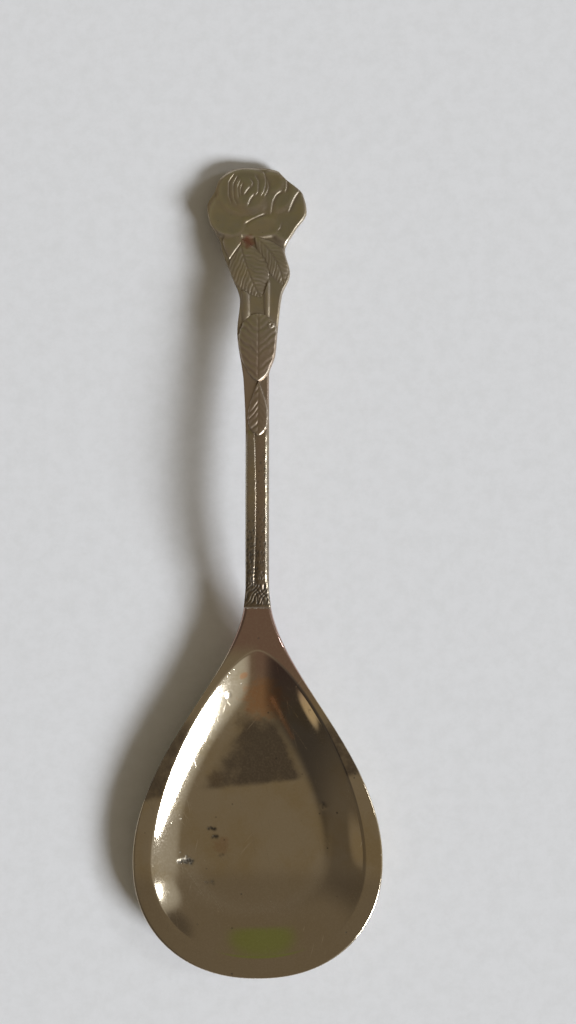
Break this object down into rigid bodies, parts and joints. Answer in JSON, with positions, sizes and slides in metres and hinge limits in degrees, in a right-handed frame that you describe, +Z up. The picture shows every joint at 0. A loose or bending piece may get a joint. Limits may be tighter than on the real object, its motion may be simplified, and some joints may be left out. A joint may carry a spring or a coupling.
{
  "type": "sugar spoon",
  "caption": "Small sugar spoon with a wide teardrop bowl, a flat rim and a struck handle with a rose and leaves at its end.",
  "frame": {"origin": "middle of the spoon's outline seen from above, on the table it lies on", "axes": "+Y along the handle towards the rose, +X across the bowl to the right, +Z up out of the bowl"},
  "size_m": [0.0428, 0.14, 0.009],
  "materials": {
    "polished_silver": "worn polish with light tarnish",
    "struck_silver": "struck relief with dark patina in its recesses",
    "solder": "dull solder"
  },
  "bodies": {
    "root": {"bowl": "polished_silver", "handle": "struck_silver", "solder_seam": "solder"}
  },
  "joints": []
}
